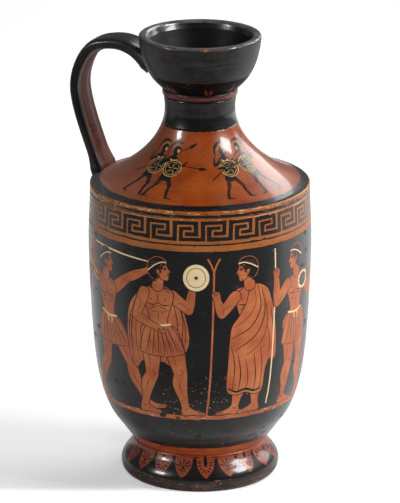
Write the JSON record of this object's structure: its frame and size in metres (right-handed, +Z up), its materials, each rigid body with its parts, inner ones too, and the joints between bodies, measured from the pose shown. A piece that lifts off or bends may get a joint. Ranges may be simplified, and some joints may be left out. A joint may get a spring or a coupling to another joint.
{
  "type": "oil jar",
  "caption": "Slip-painted terracotta oil jar of lekythos shape, with cup mouth, narrow neck, one strap handle and a round moulded foot.",
  "frame": {"origin": "centre of the resting face under the foot, on the jar's axis", "axes": "+Z up along the jar's axis, handle towards -X in the plane Y = 0"},
  "size_m": [0.1361, 0.1228, 0.25],
  "materials": {
    "gloss": "burnished black slip",
    "clay": "burnished reserved clay"
  },
  "bodies": {
    "root": {"foot": "clay", "body": "gloss", "shoulder": "clay", "neck": "gloss", "neck_collar": "clay", "mouth": "gloss", "handle": "gloss", "handle_upper_pad": "gloss", "handle_lower_pad": "clay"}
  },
  "joints": []
}
